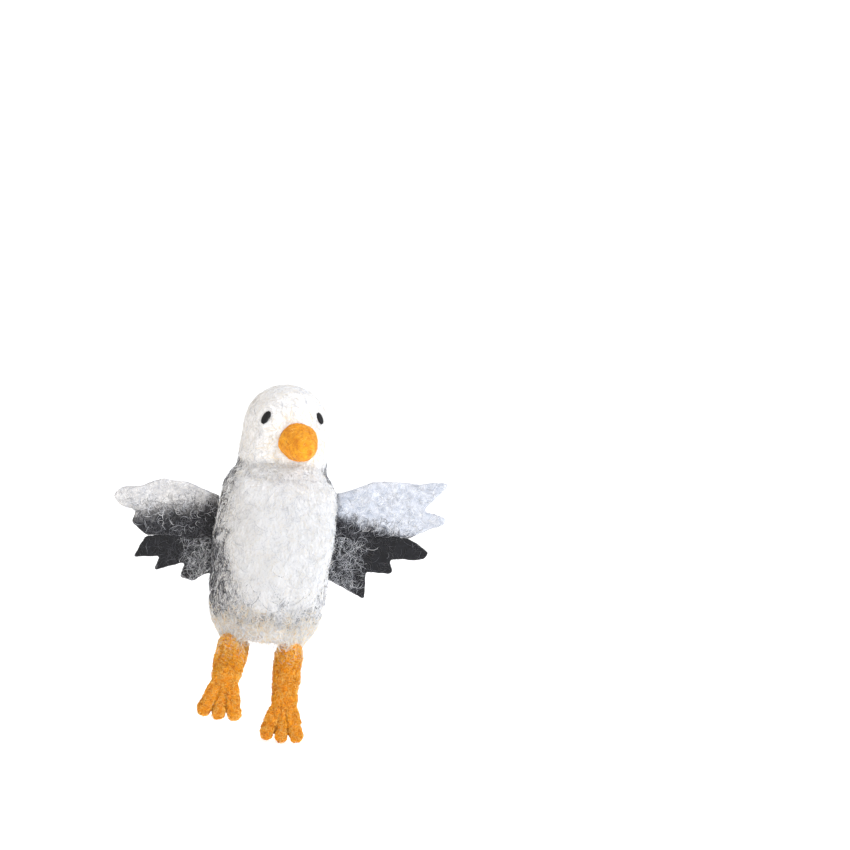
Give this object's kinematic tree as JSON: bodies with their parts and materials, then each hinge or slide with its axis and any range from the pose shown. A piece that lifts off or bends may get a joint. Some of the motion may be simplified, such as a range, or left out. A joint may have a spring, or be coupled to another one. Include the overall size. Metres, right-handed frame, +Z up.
{
  "type": "finger puppet",
  "caption": "Seagull finger puppet of felted wool, with a finger pocket, a nodding head, flat felt wings that flap and soft legs with three-toed feet.",
  "frame": {"origin": "centre of the finger pocket's mouth", "axes": "+Z up the pocket towards the head, -Y the way the gull's breast faces, so its own left side is at +X"},
  "size_m": [0.1143, 0.0465, 0.1202],
  "materials": {
    "sleeve_felt": "dense hand-felted wool, off-white",
    "grey_wool": "loose grey and charcoal wool, felted",
    "white_wool": "combed white wool, lightly felted, fuzzy",
    "beak_felt": "firm needle-felted orange wool",
    "eye_thread": "matt black thread",
    "light_felt": "light grey and white felt, clean cut",
    "black_felt": "black felt, clean cut",
    "orange_wool": "curly orange wool, felted"
  },
  "bodies": {
    "body": {"finger_sleeve": "sleeve_felt", "body_wool": "grey_wool", "chest_fleece": "white_wool", "mantle_fleece": "grey_wool"},
    "neck": {"neck_wool": "sleeve_felt"},
    "head": {"head_wool": "white_wool", "beak": "beak_felt", "eye_right": "eye_thread", "eye_left": "eye_thread"},
    "wing_right": {"wing_right_coverts": "light_felt", "wing_right_flight_feathers": "black_felt"},
    "wing_left": {"wing_left_coverts": "light_felt", "wing_left_flight_feathers": "black_felt"},
    "hip_right": {"hip_wool_right": "orange_wool"},
    "leg_right": {"leg_right": "orange_wool"},
    "foot_right": {"instep_right": "orange_wool", "toe_right_inner": "orange_wool", "toe_right_middle": "orange_wool", "toe_right_outer": "orange_wool"},
    "hip_left": {"hip_wool_left": "orange_wool"},
    "leg_left": {"leg_left": "orange_wool"},
    "foot_left": {"instep_left": "orange_wool", "toe_left_inner": "orange_wool", "toe_left_middle": "orange_wool", "toe_left_outer": "orange_wool"}
  },
  "joints": [
    {"name": "neck_turn", "type": "hinge", "parent": "body", "child": "neck", "pos_m": [0, 0, 0.059], "axis": [0, 0, 1], "range_deg": [-42, 18], "stiffness_Nm_per_rad": 0.02},
    {"name": "head_nod", "type": "hinge", "parent": "neck", "child": "head", "pos_m": [0, 0, 0.059], "axis": [0.9848, 0.1736, 0], "range_deg": [-15, 20], "stiffness_Nm_per_rad": 0.03},
    {"name": "wing_right_flap", "type": "hinge", "parent": "body", "child": "wing_right", "pos_m": [-0.0218, 0.002, 0.0345], "axis": [0, 0, 1], "range_deg": [-40, 50], "stiffness_Nm_per_rad": 0.005},
    {"name": "wing_left_flap", "type": "hinge", "parent": "body", "child": "wing_left", "pos_m": [0.0218, 0.002, 0.038], "axis": [0, 0, -1], "range_deg": [-40, 50], "stiffness_Nm_per_rad": 0.005},
    {"name": "hip_right_splay", "type": "hinge", "parent": "body", "child": "hip_right", "pos_m": [-0.00934, -0.01154, -0.002], "axis": [0, 1, 0], "range_deg": [-8, 12], "stiffness_Nm_per_rad": 0.006},
    {"name": "leg_right_swing", "type": "hinge", "parent": "hip_right", "child": "leg_right", "pos_m": [-0.00934, -0.01154, -0.002], "axis": [-1, 0, 0], "range_deg": [-50, 14], "stiffness_Nm_per_rad": 0.005},
    {"name": "ankle_right_flex", "type": "hinge", "parent": "leg_right", "child": "foot_right", "pos_m": [-0.01068, -0.02471, -0.01266], "axis": [-1, 0, 0], "range_deg": [-6, 25], "stiffness_Nm_per_rad": 0.003},
    {"name": "hip_left_splay", "type": "hinge", "parent": "body", "child": "hip_left", "pos_m": [0.00934, -0.01154, -0.002], "axis": [0, -1, 0], "range_deg": [-4, 15], "stiffness_Nm_per_rad": 0.006},
    {"name": "leg_left_swing", "type": "hinge", "parent": "hip_left", "child": "leg_left", "pos_m": [0.00934, -0.01154, -0.002], "axis": [-1, 0, 0], "range_deg": [-10, 50], "stiffness_Nm_per_rad": 0.005},
    {"name": "ankle_left_flex", "type": "hinge", "parent": "leg_left", "child": "foot_left", "pos_m": [0.00964, -0.01302, -0.01893], "axis": [-1, 0, 0], "range_deg": [-20, 25], "stiffness_Nm_per_rad": 0.003}
  ]
}
